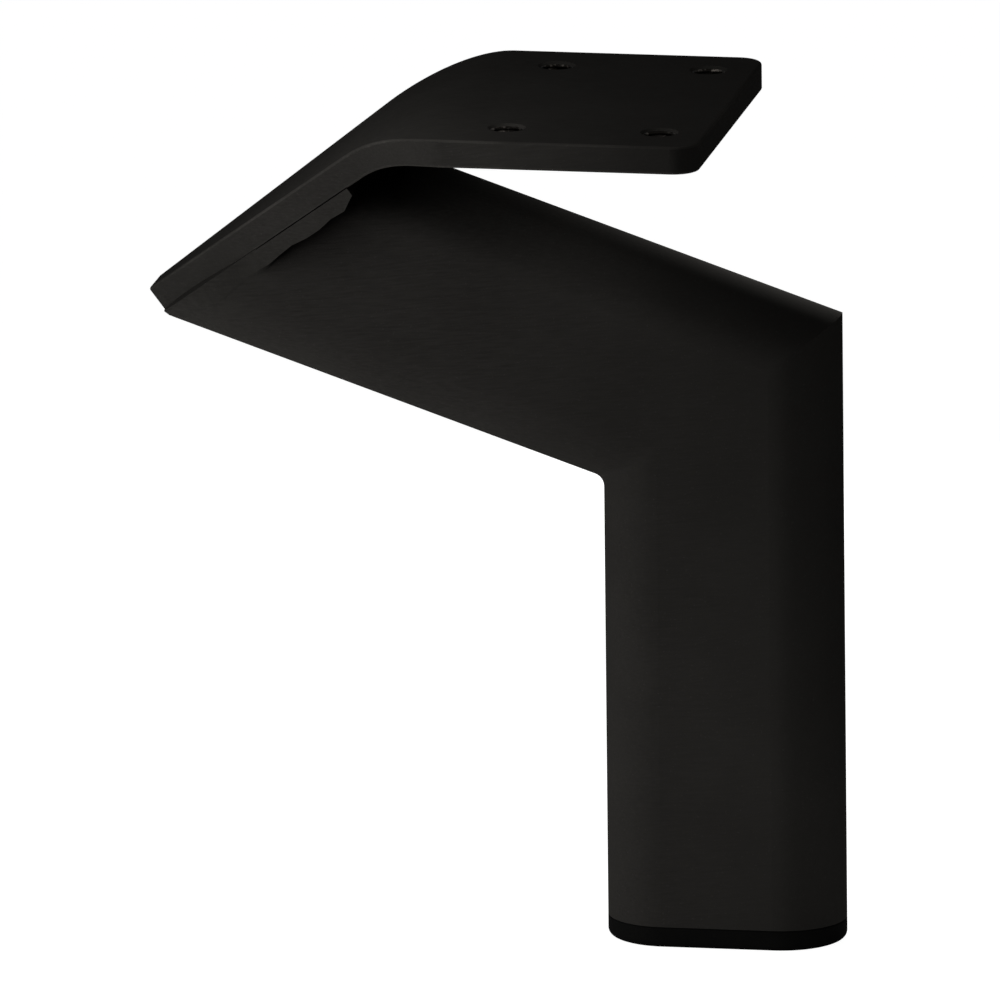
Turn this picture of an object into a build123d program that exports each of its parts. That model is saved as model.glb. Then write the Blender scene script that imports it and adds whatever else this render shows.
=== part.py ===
from build123d import *
import os
from math import cos, pi, radians, sin, sqrt, tan

# Furniture leg: a flat-oval steel tube mitred into a post and an arm, with a bent screw plate welded on the arm.
# The origin is the centre of the screw pattern on the plate's top face, +Z is up and +X points to the post.
# Lengths are in millimetres and angles in degrees.

# Tube, a flat oval with fully rounded ends
tube_width = 42.3
tube_depth = 22.5
tube_wall = 2.0

# Post and arm
leg_height = 150.0
post_offset = 20.0
arm_drop = 52.5
arm_slope = 19.0

# Screw plate, a flat with four holes that bends down into a tongue
plate_thickness = 5.0
plate_width = 71.2
plate_end = 21.8
plate_corner_radius = 4.6
plate_edge_radius = 0.5
flat_length = 44.7
bend_radius = 28.4
tongue_slope = 37.0
tongue_root_width = 43.0
tongue_tip_width = 9.0
tip_setback = 1.7
flare_steps = 8

# Screw holes
hole_pitch_x = 27.0
hole_pitch_y = 49.0
hole_diameter = 5.8
hole_chamfer = 0.45

# Weld between the tongue and the arm
weld_height = 3.4
weld_lap = 0.3
weld_crown = 0.2
weld_feather = 1.5
weld_undercut = 0.4
weld_undercut_reach = 4.0
weld_rise = 0.15
weld_ripple = 0.16
weld_ripple_pitch = 11.0
weld_inset = 4.9
weld_end_length = 3.0
weld_end_share = 0.45
weld_tip_share = 0.4
weld_steps = 8

# Weld along the inner half of the mitre
corner_weld_radius = 2.5
corner_weld_width = 4.4

# Plastic foot cap
cap_rim_height = 3.8
cap_edge_radius = 1.3
cap_seam_chamfer = 0.3
plug_height = 14.0
plug_wall = 1.8
plug_clearance = 0.6
plug_rib_clearance = 0.05
plug_rib_height = 1.5
plug_rib_count = 3

# Worked out from the sizes above
floor_z = -leg_height
corner_point = Vector(post_offset, 0, -arm_drop)
arm_direction = Vector(-cos(radians(arm_slope)), 0, sin(radians(arm_slope)))
arm_across = Vector(sin(radians(arm_slope)), 0, cos(radians(arm_slope)))
mitre_angle = radians((90 - arm_slope) / 2)
mitre_plane = Plane(origin=corner_point, x_dir=(0, 1, 0), z_dir=(-sin(mitre_angle), 0, cos(mitre_angle)))
outer_radius = bend_radius + plate_thickness
bend_x = plate_end - flat_length
bend_axis = Vector(bend_x, 0, -outer_radius)
tongue_along = Vector(-cos(radians(tongue_slope)), 0, -sin(radians(tongue_slope)))
tongue_up = Vector(-sin(radians(tongue_slope)), 0, cos(radians(tongue_slope)))
tongue_root = bend_axis + tongue_up * bend_radius
tongue_plane = Plane(origin=tongue_root, x_dir=tongue_along, z_dir=tongue_up)
cut_angle = radians(tongue_slope + arm_slope)
reach = 3 * leg_height


def along_tongue(across):
    """Distance along the tongue's underside at which it meets a line of the arm, given the line's offset."""
    point = corner_point + arm_across * across
    offset = (point - tongue_root).dot(tongue_up)
    hit = point - arm_direction * (offset / arm_direction.dot(tongue_up))
    return (hit - tongue_root).dot(tongue_along)


tongue_foot = along_tongue(-tube_width / 2)
tongue_length = tongue_foot - tip_setback
flare_slope = (tongue_root_width - tongue_tip_width) / 2 / tongue_length
tip_plane = Plane(origin=tongue_root + tongue_along * tongue_length, x_dir=(0, 1, 0), z_dir=tongue_along)


def tongue_half_width(distance):
    """Half of the tongue's width at a distance from the end of the bend towards the tip."""
    return tongue_root_width / 2 - flare_slope * distance


def flare_half_width(share):
    """Half of the plate's width along the bend: a cubic, tangent to the tongue's sides and to the flat's."""
    length = outer_radius * radians(tongue_slope)
    start = (2 * share**3 - 3 * share**2 + 1) * tongue_root_width / 2
    rise = (share**3 - 2 * share**2 + share) * length * flare_slope
    end = (3 * share**2 - 2 * share**3) * plate_width / 2
    return start + rise + end


def tube_half_depth(distance, drop=0.0):
    """Half of the arm's depth at a drop below the tongue's underside and a distance from the end of the bend."""
    round_radius = tube_depth / 2
    to_lower = (tongue_foot - distance) * sin(cut_angle) - drop * cos(cut_angle)
    to_edge = min(to_lower, tube_width - to_lower)
    inside = round_radius - max(0.0, min(to_edge, round_radius))
    return sqrt(round_radius**2 - inside**2)


def oval(shrink=0.0):
    """Flat-oval section of the tube, made smaller all round."""
    return SlotOverall(tube_width - 2 * shrink, tube_depth - 2 * shrink)


def post_solid(shrink=0.0):
    """Post without its bore, cut off along the mitre."""
    base = Plane(origin=(post_offset, 0, floor_z + cap_rim_height))
    return split(extrude(base * oval(shrink), reach), bisect_by=mitre_plane, keep=Keep.BOTTOM)


def underside_block():
    """Everything above the underside of the plate, with the tongue's plane carried on past the tip."""
    centre = (bend_axis.X, bend_axis.Z)
    arc = CenterArc(centre, bend_radius, 90, tongue_slope)
    far = arc @ 1 + Vector(tongue_along.X, tongue_along.Z) * reach
    flat_far = Vector(bend_x + reach, -plate_thickness)
    rim = Polyline(arc @ 1, far, (far.X, reach), (flat_far.X, reach), flat_far, arc @ 0)
    return extrude(Plane.XZ * make_face([arc, rim]), reach, both=True)


def arm_solid(shrink=0.0):
    """Arm without its bore, cut off along the mitre, under the plate and flush with the tongue's tip."""
    base = Plane(origin=corner_point - arm_direction * tube_width, x_dir=arm_across, z_dir=arm_direction)
    arm = split(extrude(base * oval(shrink), reach), bisect_by=mitre_plane, keep=Keep.TOP)
    arm = (arm - underside_block()).solids().sort_by(Axis.Z)[0]
    return split(arm, bisect_by=tip_plane, keep=Keep.BOTTOM)


def flat_part():
    """Flat of the screw plate, with rounded corners at its free end and four holes."""
    box = Pos(bend_x + flat_length / 2, 0, -plate_thickness / 2) * Box(flat_length, plate_width, plate_thickness)
    corners = box.edges().filter_by(Axis.Z).group_by(Axis.X)[-1]
    flat = fillet(corners, plate_corner_radius)
    hole_radius = hole_diameter / 2
    hole = Pos(0, 0, -plate_thickness / 2) * Cylinder(hole_radius, plate_thickness)
    sink = Pos(0, 0, -hole_chamfer / 2) * Cone(hole_radius, hole_radius + hole_chamfer, hole_chamfer)
    return flat - GridLocations(hole_pitch_x, hole_pitch_y, 2, 2) * (hole + sink)


def bend_part():
    """Bend of the screw plate, whose sides flare from the tongue's width to the flat's."""
    centre = (bend_axis.X, bend_axis.Z)
    outside = CenterArc(centre, outer_radius, 90, tongue_slope)
    inside = CenterArc(centre, bend_radius, 90, tongue_slope)
    ends = [Line(outside @ 0, inside @ 0), Line(outside @ 1, inside @ 1)]
    sector = extrude(Plane.XZ * make_face([outside, inside] + ends), plate_width, both=True)
    sections = []
    for step in range(flare_steps + 1):
        angle = radians(tongue_slope) * (1 - step / flare_steps)
        outward = Vector(-sin(angle), 0, cos(angle))
        middle = bend_axis + outward * (bend_radius + plate_thickness / 2)
        plane = Plane(origin=middle, x_dir=(0, 1, 0), z_dir=(cos(angle), 0, sin(angle)))
        sections.append(plane * Rectangle(2 * flare_half_width(step / flare_steps), 2 * plate_thickness))
    return sector & loft(sections)


def tongue_part():
    """Tongue of the screw plate, tapering to its tip."""
    root = tongue_root_width / 2
    tip = tongue_tip_width / 2
    outline = Polyline((0, -root), (tongue_length, -tip), (tongue_length, tip), (0, root), close=True)
    return extrude(tongue_plane * make_face(outline), plate_thickness)


def outline_edges(plate):
    """Edges round the outside of the plate's six wide faces, without the bend lines and the welded tip edge."""
    wide = plate.faces().sort_by(SortBy.AREA)[-6:]
    edges = [edge for face in wide for edge in face.outer_wire().edges()]
    outline = [edge for edge in edges if edges.count(edge) == 1]
    return [edge for edge in outline if (edge.center() - tip_plane.origin).length > plate_edge_radius]


def screw_plate():
    """The bent plate, in one piece, with its outline rounded."""
    plate = flat_part() + bend_part() + tongue_part()
    return fillet(outline_edges(plate), plate_edge_radius)


weld_first = along_tongue(tube_width / 2) + weld_inset
weld_flush = (tongue_root_width - tube_depth) / 2 / flare_slope


def weld_section(distance):
    """Section of the plate's weld: under the tongue's overhang, or on the arm's rim where there is none."""
    edge = tongue_half_width(distance)
    face = tube_half_depth(distance)
    overhang = max(0.0, edge - face)
    ledge = max(0.0, face - edge)
    ripple = (1 - cos(2 * pi * (distance - weld_first) / weld_ripple_pitch)) / 2
    start = min(1.0, weld_end_share + (distance - weld_first) / weld_end_length)
    room = (tongue_foot - distance) * tan(cut_angle) * weld_tip_share
    height = min(weld_height * start * (1 - weld_ripple * ripple), room)
    free = min(1.0, overhang / weld_undercut_reach)
    low = height * (1 - weld_undercut * free) + min(weld_feather, room) * (1 - free)
    top = weld_lap + weld_rise * ledge
    shoulder = max(edge, face + weld_crown)
    toe = max(edge, tube_half_depth(distance, height) + weld_crown)
    heel = tube_half_depth(distance, low) - weld_lap
    inner = min(edge, face, heel) - tube_wall / 2
    upper = [(inner, top), (edge - weld_lap, top), (shoulder, top / 2)]
    lower = [(toe, -height), (heel, -low), (inner, -low)]
    plane = Plane(origin=tongue_root + tongue_along * distance, x_dir=(0, -1, 0), z_dir=tongue_along)
    return plane * make_face(Polyline(*upper, *lower, close=True))


def front_weld():
    """Weld bead along the front of the arm, cut back to the plate and to the tube."""
    under = [weld_first + (weld_flush - weld_first) * n / weld_steps for n in range(weld_steps)]
    beside = [weld_flush + (tongue_length - weld_flush) * n / weld_steps for n in range(weld_steps + 1)]
    bead = loft([weld_section(distance) for distance in under + beside], ruled=True)
    return bead - tongue_part() - arm_solid()


def corner_zone():
    """Slab along the inner half of the mitre that the corner weld takes up."""
    half = mitre_plane * Pos(0, tube_width / 2) * Rectangle(tube_width, tube_width)
    return extrude(half, corner_weld_width / 2, both=True)


def corner_weld():
    """Weld along the inner half of the mitre, flush with the tubes and rounded out in their corner."""
    joined = post_solid() + arm_solid()
    inner_point = corner_point + mitre_plane.y_dir * (tube_width / 2 / cos(mitre_angle))
    seam = joined.edges().sort_by_distance(inner_point)[0]
    rounded = fillet(seam, corner_weld_radius) & corner_zone()
    return rounded - post_solid(tube_wall) - arm_solid(tube_wall)


def foot_cap():
    """Plastic cap that closes the post: a rim under the tube and a ribbed hollow plug inside it."""
    base = Plane(origin=(post_offset, 0, floor_z))
    rim = extrude(base * oval(), cap_rim_height)
    rim = fillet(rim.edges().group_by(Axis.Z)[0], cap_edge_radius)
    rim = chamfer(rim.edges().group_by(Axis.Z)[-1], cap_seam_chamfer)
    seat = base.offset(cap_rim_height)
    plug_inset = tube_wall + plug_clearance
    plug = extrude(seat * (oval(plug_inset) - oval(plug_inset + plug_wall)), plug_height)
    rib_pitch = plug_height / plug_rib_count
    rib_ring = oval(tube_wall + plug_rib_clearance) - oval(plug_inset + plug_wall)
    for number in range(plug_rib_count):
        plug += extrude(seat.offset(rib_pitch * (number + 0.5)) * rib_ring, plug_rib_height)
    return rim + plug


nodes = {
    "post_tube": post_solid() - post_solid(tube_wall) - corner_zone(),
    "arm_tube": arm_solid() - arm_solid(tube_wall) - corner_zone(),
    "mounting_plate": screw_plate(),
    "plate_weld_front": front_weld(),
    "plate_weld_back": mirror(front_weld(), Plane.XZ),
    "corner_weld": corner_weld(),
    "foot_cap": foot_cap(),
}

os.makedirs("parts", exist_ok=True)
for name, solid in nodes.items():
    export_step(solid, f"parts/{name}.step")
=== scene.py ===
from math import atan2, cos, pi, radians, sin

import bpy
from mathutils import Matrix, Vector


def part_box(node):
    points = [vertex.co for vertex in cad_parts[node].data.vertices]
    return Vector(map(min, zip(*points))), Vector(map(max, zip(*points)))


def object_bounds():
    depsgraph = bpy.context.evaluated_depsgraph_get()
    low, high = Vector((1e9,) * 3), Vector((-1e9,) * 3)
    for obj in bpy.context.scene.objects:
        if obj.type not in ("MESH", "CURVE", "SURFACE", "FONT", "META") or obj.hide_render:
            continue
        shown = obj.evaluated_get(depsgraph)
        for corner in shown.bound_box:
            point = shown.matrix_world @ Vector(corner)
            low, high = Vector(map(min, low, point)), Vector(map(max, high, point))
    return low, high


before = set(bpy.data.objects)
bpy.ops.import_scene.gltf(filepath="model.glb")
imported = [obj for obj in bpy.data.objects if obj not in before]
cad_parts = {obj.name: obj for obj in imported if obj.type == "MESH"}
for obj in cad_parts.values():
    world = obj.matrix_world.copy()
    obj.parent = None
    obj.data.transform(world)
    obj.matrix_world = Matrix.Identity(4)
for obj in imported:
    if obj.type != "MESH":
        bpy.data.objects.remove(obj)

# Furniture leg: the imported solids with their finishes, a pale floor, soft light and the photograph's camera.
# Lengths are in metres and angles in degrees.
cad_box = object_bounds()

# Camera, at the photograph's angle
camera_azimuth = 10.5
camera_elevation = 13.6
camera_roll = 0.6
camera_distance = 6.0
camera_reach = 24.0
photo_pixels = 1000
pixels_per_metre = 5693
sensor_width_mm = 36
target_right = -0.03924
target_up = 0.07673

# Colours of the finishes
steel_black = (0.0210, 0.0200, 0.0185)
weld_black = (0.0205, 0.0195, 0.0180)
# Lighter black of the plate's rounded edges: a painted highlight along them
edge_highlight_black = (0.0306, 0.0290, 0.0266)
# Near-black of the screw holes' walls: painted shade inside the holes
hole_wall_painted_shade = (0.010, 0.009, 0.008)
plastic_black = (0.0044, 0.0044, 0.0042)

# Gloss of the finishes, with the roughness at a texture's low and high level
finish_ior = 1.45
steel_gloss = 0.0002
steel_roughness = (1.0, 0.84)
hole_roughness = (0.45, 0.3)
plastic_gloss = 0.002
plastic_roughness = (0.8, 0.95)

# Noise textures, each with its scale and detail, and a roughness for the streaks
streak_noise = (1.0, 3, 0.6)
cloud_noise = (60, 3)
pit_noise = (2600, 2)
lump_noise = (700, 3)
bit_noise = (900, 2)
plastic_grain_noise = (1800, 3)
plastic_cloud_noise = (90, 2)

# Levels between which most of a noise lies
noise_low = 0.3
noise_high = 0.7

# Bumps, each with its height and strength
grain_bump = (0.00012, 0.35)
pit_bump = (0.00001, 0.3)
lump_bump = (0.0002, 0.5)
ridge_bump = (0.0003, 0.8)
plastic_bump = (0.00004, 0.4)

# Brushed grain of the steel, which fades along the part's first axis
grain_rise = 6.0
grain_strong = 0.13
grain_faint = 0.035
grain_fade = (-0.03, 0.03)
grain_length = 0.0045
grain_width = 0.00035

# Shares by which the clouds change a colour, and the light flecks of the steel
steel_cloud_share = 0.06
edge_cloud_share = 0.25
plastic_cloud_share = 0.15
fleck_gain = 1.3
fleck_span = (0.64, 0.74)

# Painted shade in the corner under the plate's weld, between two places along the part's first axis
corner_shade_reach = 0.016
corner_shade_level = 0.06
corner_shade_span = (0.60, 0.88)
corner_shade_start = (-0.066, -0.056)
corner_shade_end = (-0.036, -0.022)
corner_shade_samples = 6

# Screw holes, with ridges and a few bright bits on their walls; the ridges' colour is painted light on their
# crests and painted shade between them
hole_pitch = (0.027, 0.049)
hole_reach = 0.0037
ridge_pitch = 0.001974
ridge_light_and_shade = (0.4, 1.6)
bit_gain = (0.4, 5.0)
bit_span = (0.52, 0.66)

# The wave texture's angle, in radians, for each unit of length
wave_rate = 20.0

# Lean of a face to the plate's wide faces: a wall lies below the first value, a rounded edge between both
wall_lean = 0.2
round_lean = 0.97

# The plate's bend, where its faces turn from the flat's to the tongue's
bend_start = -0.0229
bend_depth = 0.0334
bend_angle = 37.0

# Weld bands that meet at less than this angle shade as one; corners agree to this many digits
blend_angle = 40.0
corner_digits = 6

# Floor and even light
floor_size = 8.0
floor_white = 0.8
floor_glow = 0.97
floor_shadow_share = 0.25
ambient_strength = 0.128

# Lamps, each with its place, aim, size and watts; most are small and stand close to the part
lamps = {
    "key_lamp": ((-0.22, -0.10, -0.125), (-0.08, 0, -0.06), 0.06, 0.372),
    "top_lamp": ((-0.06, -0.06, 0.05), (-0.04, 0, -0.02), 0.04, 0.039),
    "post_lamp": ((0.015, -0.10, -0.14), (0.02, 0, -0.11), 0.06, 0.032),
    "rim_lamp": ((0.028, 0.052, -0.007), (0.028, 0.052, -0.1), 0.02, 0.165),
    "gap_lamp": ((0, -0.03, -0.014), (0, 0.04, -0.084), 0.012, 0.0016),
    "edge_lamp": ((-0.012, -0.058, -0.0025), (-0.012, 0, -0.0025), 0.008, 0.0018),
    "back_lamp": ((-0.05, 0.35, -0.02), (0, 0, -0.06), 0.2, 0.5),
}


def set_inputs(node, **values):
    """Sets sockets of a shader node by name, with underscores for the spaces."""
    for name, value in values.items():
        node.inputs[name.replace("_", " ")].default_value = value


def grey(level):
    """Grey colour of a level."""
    return level, level, level, 1


def new_material(name):
    """A material with an empty node tree, and the tree's output node."""
    material = bpy.data.materials.new(name)
    material.use_nodes = True
    tree = material.node_tree
    tree.nodes.clear()
    return material, tree, tree.nodes.new("ShaderNodeOutputMaterial")


def new_finish(name, **values):
    """A material whose surface is one shader with the given values, its tree and the shader."""
    material, tree, output = new_material(name)
    shader = tree.nodes.new("ShaderNodeBsdfPrincipled")
    set_inputs(shader, **values)
    tree.links.new(shader.outputs["BSDF"], output.inputs["Surface"])
    return material, tree, shader


def link_finish(tree, shader, colour, roughness, normal):
    """Links a finish's colour, roughness and normal to its shader."""
    tree.links.new(colour, shader.inputs["Base Color"])
    tree.links.new(roughness, shader.inputs["Roughness"])
    tree.links.new(normal, shader.inputs["Normal"])


def noise(tree, vector, scale, detail, roughness=0.5):
    """Noise texture on the given coordinates; returns its factor socket."""
    node = tree.nodes.new("ShaderNodeTexNoise")
    set_inputs(node, Scale=scale, Detail=detail, Roughness=roughness)
    tree.links.new(vector, node.inputs["Vector"])
    return node.outputs["Fac"]


def remap(tree, value, low, high, start=noise_low, end=noise_high):
    """Maps a value between two levels, those of a noise unless others are given, to a range of values."""
    node = tree.nodes.new("ShaderNodeMapRange")
    set_inputs(node, From_Min=start, From_Max=end, To_Min=low, To_Max=high)
    tree.links.new(value, node.inputs["Value"])
    return node.outputs["Result"]


def combine(tree, operation, value, *others):
    """Joins values one after another by an operation such as a product."""
    for other in others:
        node = tree.nodes.new("ShaderNodeMath")
        node.operation = operation
        tree.links.new(value, node.inputs[0])
        tree.links.new(other, node.inputs[1])
        value = node.outputs["Value"]
    return value


def tinted(tree, colour, factor):
    """A colour made lighter or darker by a factor from the nodes."""
    node = tree.nodes.new("ShaderNodeVectorMath")
    node.operation = "SCALE"
    node.inputs[0].default_value = colour
    tree.links.new(factor, node.inputs["Scale"])
    return node.outputs["Vector"]


def bump(tree, height, distance, strength, below=None):
    """Bump from a height, on top of another bump where one is given; returns its normal."""
    node = tree.nodes.new("ShaderNodeBump")
    set_inputs(node, Distance=distance, Strength=strength)
    tree.links.new(height, node.inputs["Height"])
    if below is not None:
        tree.links.new(below, node.inputs["Normal"])
    return node.outputs["Normal"]


def object_coordinates(tree, turn=(0.0, 0.0, 0.0), scale=(1.0, 1.0, 1.0)):
    """Coordinates in the part's frame, turned and then scaled."""
    place = tree.nodes.new("ShaderNodeTexCoord").outputs["Object"]
    turned = tree.nodes.new("ShaderNodeMapping")
    set_inputs(turned, Rotation=[radians(angle) for angle in turn])
    tree.links.new(place, turned.inputs["Vector"])
    scaled = tree.nodes.new("ShaderNodeMapping")
    set_inputs(scaled, Scale=scale)
    tree.links.new(turned.outputs["Vector"], scaled.inputs["Vector"])
    return scaled.outputs["Vector"]


def part_x(tree):
    """Place along the part's first axis."""
    place = tree.nodes.new("ShaderNodeSeparateXYZ")
    tree.links.new(object_coordinates(tree), place.inputs["Vector"])
    return place.outputs["X"]


def weld_corner_shade(tree):
    """Factor of painted shade: it falls in the narrow corner under the plate's weld, and is one away from it.
    """
    corner = tree.nodes.new("ShaderNodeAmbientOcclusion")
    corner.samples = corner_shade_samples
    set_inputs(corner, Distance=corner_shade_reach)
    place = part_x(tree)
    starts = remap(tree, place, 0.0, 1.0, *corner_shade_start)
    ends = remap(tree, place, 1.0, 0.0, *corner_shade_end)
    depth = remap(tree, corner.outputs["AO"], 1 - corner_shade_level, 0.0, *corner_shade_span)
    dark = combine(tree, "MULTIPLY", starts, ends, depth)
    return remap(tree, dark, 1.0, 0.0, 0.0, 1.0)


def black_steel(name, colour, cloud_share=steel_cloud_share, lumpy=False):
    """Matte black over brushed steel: streaks that fade towards the post, clouds, flecks, faint pits and
    painted shade in the corner under the plate's weld.
    """
    material, tree, shader = new_finish(name, Metallic=0.0, IOR=finish_ior, Specular_IOR_Level=steel_gloss)
    plain = object_coordinates(tree)
    stretch = (1 / grain_length, 1 / grain_width, 1 / grain_width)
    streaks = noise(tree, object_coordinates(tree, (0, grain_rise, 0), stretch), *streak_noise)
    clouds = noise(tree, plain, *cloud_noise)
    pits = noise(tree, plain, *pit_noise)
    strength = remap(tree, part_x(tree), grain_strong, grain_faint, *grain_fade)
    swing = combine(tree, "MULTIPLY", remap(tree, streaks, -1.0, 1.0), strength)
    streaked = remap(tree, swing, 0.0, 2.0, -1.0, 1.0)
    clouded = remap(tree, clouds, 1 - cloud_share, 1 + cloud_share)
    flecked = remap(tree, pits, 1.0, fleck_gain, *fleck_span)
    # The last factor darkens the colour in the corner under the weld: painted shade
    shade = combine(tree, "MULTIPLY", streaked, clouded, flecked, weld_corner_shade(tree))
    roughness = remap(tree, streaks, *steel_roughness)
    normal = bump(tree, swing, *grain_bump)
    normal = bump(tree, pits, *pit_bump, normal)
    if lumpy:
        normal = bump(tree, noise(tree, plain, *lump_noise), *lump_bump, normal)
    link_finish(tree, shader, tinted(tree, colour, shade), roughness, normal)
    return material


def ridged_steel(name, colour):
    """Bare steel of a hole's wall, darkened as painted shade, with ridges around it in painted light and
    shade, and a few bright bits.
    """
    material, tree, shader = new_finish(name, Metallic=1.0)
    plain = object_coordinates(tree)
    ridges = tree.nodes.new("ShaderNodeTexWave")
    ridges.bands_direction = "Z"
    set_inputs(ridges, Scale=2 * pi / (wave_rate * ridge_pitch), Distortion=1.0, Detail=1.0)
    tree.links.new(plain, ridges.inputs["Vector"])
    height = ridges.outputs["Fac"]
    # Crests lighter and roots darker: painted light and shade on the ridges
    ridged = remap(tree, height, *ridge_light_and_shade, 0.0, 1.0)
    speckled = remap(tree, noise(tree, plain, *bit_noise), *bit_gain, *bit_span)
    shade = combine(tree, "MULTIPLY", ridged, speckled)
    roughness = remap(tree, height, *hole_roughness)
    link_finish(tree, shader, tinted(tree, colour, shade), roughness, bump(tree, height, *ridge_bump))
    return material


def grained_plastic(name, colour):
    """Black moulded plastic with a fine grain."""
    material, tree, shader = new_finish(name, Metallic=0.0, IOR=finish_ior, Specular_IOR_Level=plastic_gloss)
    plain = object_coordinates(tree)
    grain = noise(tree, plain, *plastic_grain_noise)
    clouds = noise(tree, plain, *plastic_cloud_noise)
    shade = remap(tree, clouds, 1 - plastic_cloud_share, 1 + plastic_cloud_share)
    roughness = remap(tree, grain, *plastic_roughness)
    link_finish(tree, shader, tinted(tree, colour, shade), roughness, bump(tree, grain, *plastic_bump))
    return material


def split_by_ray(tree, output, hidden, seen):
    """Uses one shader for the rays that show the background and another for all other light.

    The background is shown to the camera, in reflections and through clear pieces.
    """
    path = tree.nodes.new("ShaderNodeLightPath")
    rays = [path.outputs[ray] for ray in ("Is Camera Ray", "Is Glossy Ray", "Is Transmission Ray")]
    mix = tree.nodes.new("ShaderNodeMixShader")
    tree.links.new(combine(tree, "MAXIMUM", *rays), mix.inputs["Fac"])
    tree.links.new(hidden, mix.inputs[1])
    tree.links.new(seen, mix.inputs[2])
    tree.links.new(mix.outputs["Shader"], output.inputs["Surface"])


def pale_floor():
    """White floor that glows where it is seen and keeps the part's shadow."""
    material, tree, output = new_material("floor_white")
    paper = tree.nodes.new("ShaderNodeBsdfDiffuse")
    set_inputs(paper, Color=grey(floor_white))
    shadow = tree.nodes.new("ShaderNodeBsdfDiffuse")
    set_inputs(shadow, Color=grey(floor_shadow_share))
    glow = tree.nodes.new("ShaderNodeEmission")
    set_inputs(glow, Strength=floor_glow)
    seen = tree.nodes.new("ShaderNodeAddShader")
    tree.links.new(shadow.outputs["BSDF"], seen.inputs[0])
    tree.links.new(glow.outputs["Emission"], seen.inputs[1])
    split_by_ray(tree, output, paper.outputs["BSDF"], seen.outputs["Shader"])
    half = floor_size / 2
    mesh = bpy.data.meshes.new("floor")
    corners = [(-half, -half, 0), (half, -half, 0), (half, half, 0), (-half, half, 0)]
    mesh.from_pydata(corners, [], [(0, 1, 2, 3)])
    mesh.materials.append(material)
    floor = bpy.data.objects.new("floor", mesh)
    floor.location = (0, 0, cad_box[0].z)
    bpy.context.scene.collection.objects.link(floor)


def studio_world():
    """White surroundings where they are seen, and an even weak light elsewhere."""
    world = bpy.data.worlds.new("studio")
    bpy.context.scene.world = world
    world.use_nodes = True
    tree = world.node_tree
    tree.nodes.clear()
    output = tree.nodes.new("ShaderNodeOutputWorld")
    seen = tree.nodes.new("ShaderNodeBackground")
    set_inputs(seen, Color=grey(1), Strength=1.0)
    light = tree.nodes.new("ShaderNodeBackground")
    set_inputs(light, Color=grey(1), Strength=ambient_strength)
    split_by_ray(tree, output, light.outputs["Background"], seen.outputs["Background"])


def soft_lamp(name, place, aim, size, watts):
    """Square area lamp at a place, turned to a point."""
    lamp = bpy.data.lights.new(name, "AREA")
    lamp.shape = "SQUARE"
    lamp.size = size
    lamp.energy = watts
    piece = bpy.data.objects.new(name, lamp)
    piece.visible_camera = False
    piece.location = place
    piece.rotation_euler = (Vector(aim) - Vector(place)).to_track_quat("-Z", "Y").to_euler()
    bpy.context.scene.collection.objects.link(piece)


def photo_camera():
    """Camera that sees the part as the photograph does."""
    azimuth = radians(camera_azimuth)
    elevation = radians(camera_elevation)
    roll = radians(camera_roll)
    back = Vector((sin(azimuth) * cos(elevation), -cos(azimuth) * cos(elevation), sin(elevation)))
    right = Vector((cos(azimuth), sin(azimuth), 0))
    up = back.cross(right)
    foot_low, foot_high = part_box("foot_cap")
    foot = Vector(((foot_low.x + foot_high.x) / 2, (foot_low.y + foot_high.y) / 2, foot_low.z))
    target = foot + right * target_right + up * target_up
    turned_right = right * cos(roll) - up * sin(roll)
    turned_up = right * sin(roll) + up * cos(roll)
    data = bpy.data.cameras.new("photo_camera")
    data.sensor_width = sensor_width_mm
    data.lens = sensor_width_mm * pixels_per_metre * camera_distance / photo_pixels
    data.clip_end = camera_reach
    camera = bpy.data.objects.new("photo_camera", data)
    turn = Matrix((turned_right, turned_up, back)).transposed().to_4x4()
    camera.matrix_world = Matrix.Translation(target + back * camera_distance) @ turn
    bpy.context.scene.collection.objects.link(camera)
    bpy.context.scene.camera = camera


def node_mesh(node):
    """Mesh of a CAD node."""
    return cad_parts[node].data


def dress(node, *materials):
    """Puts materials in a CAD node's slots."""
    mesh = node_mesh(node)
    mesh.materials.clear()
    for material in materials:
        mesh.materials.append(material)


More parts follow.
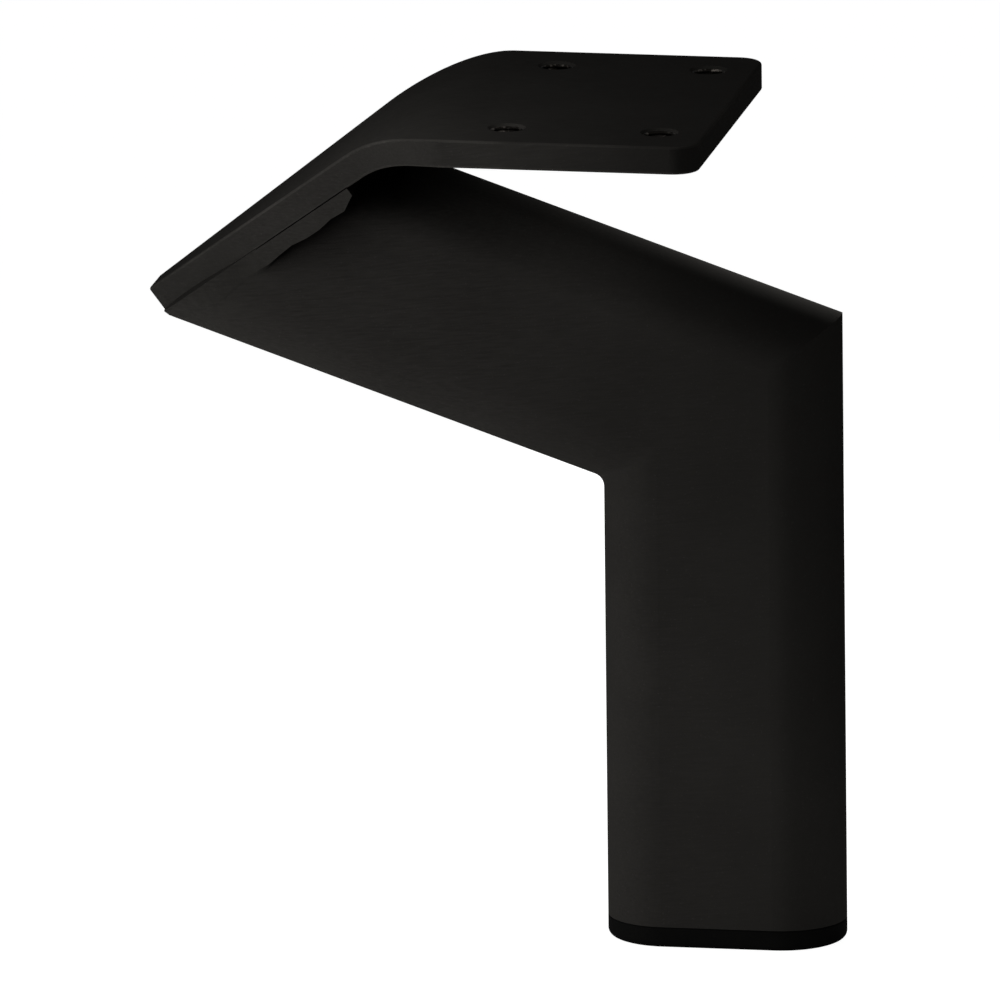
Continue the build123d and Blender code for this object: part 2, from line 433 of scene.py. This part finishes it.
def blend_bands(node):
    """Blends the shading across the bands of a weld, where they meet at less than the blend angle."""
    mesh = node_mesh(node)
    limit = cos(radians(blend_angle))
    corners = [
        (face, mesh.vertices[vertex].co.to_tuple(corner_digits))
        for face in mesh.polygons
        for vertex in face.vertices
    ]
    meeting = {}
    for face, place in corners:
        meeting.setdefault(place, []).append(face)
    normals = []
    for face, place in corners:
        near = [other for other in meeting[place] if other.normal.dot(face.normal) > limit]
        total = sum((other.normal * other.area for other in near), Vector())
        normals.append(total.normalized())
    mesh.normals_split_custom_set(normals)


def plate_outward(place):
    """Direction square to the plate's wide faces near a place: up on the flat, turning over the bend."""
    turn = atan2(bend_start - place.x, place.z + bend_depth)
    turn = max(0.0, min(turn, radians(bend_angle)))
    return Vector((-sin(turn), 0, cos(turn)))


def mark_plate_faces():
    """Gives the second material to the screw holes' walls and the third, with its painted highlight, to the
    plate's rounded edges.
    """
    for face in node_mesh("mounting_plate").polygons:
        lean = abs(face.normal.dot(plate_outward(face.center)))
        across = abs(abs(face.center.x) - hole_pitch[0] / 2)
        along = abs(abs(face.center.y) - hole_pitch[1] / 2)
        if Vector((across, along)).length < hole_reach and lean < wall_lean:
            face.material_index = 1
        elif wall_lean < lean < round_lean:
            face.material_index = 2


# Finishes on the solids
tube_finish = black_steel("tube_steel", steel_black)
plate_finish = black_steel("plate_steel", steel_black)
weld_finish = black_steel("weld_steel", weld_black, lumpy=True)
# The plate's rounded edges get a lighter black: a painted highlight
edge_finish = black_steel("edge_highlight_steel", edge_highlight_black, edge_cloud_share)
hole_finish = ridged_steel("hole_thread", hole_wall_painted_shade)
cap_finish = grained_plastic("cap_plastic", plastic_black)
for tube in ("post_tube", "arm_tube", "corner_weld"):
    dress(tube, tube_finish)
dress("mounting_plate", plate_finish, hole_finish, edge_finish)
mark_plate_faces()
for weld in ("plate_weld_front", "plate_weld_back"):
    dress(weld, weld_finish)
    blend_bands(weld)
dress("foot_cap", cap_finish)

# Floor, light and camera
pale_floor()
studio_world()
for name, setting in lamps.items():
    soft_lamp(name, *setting)
photo_camera()
bpy.context.scene.view_settings.view_transform = "Standard"
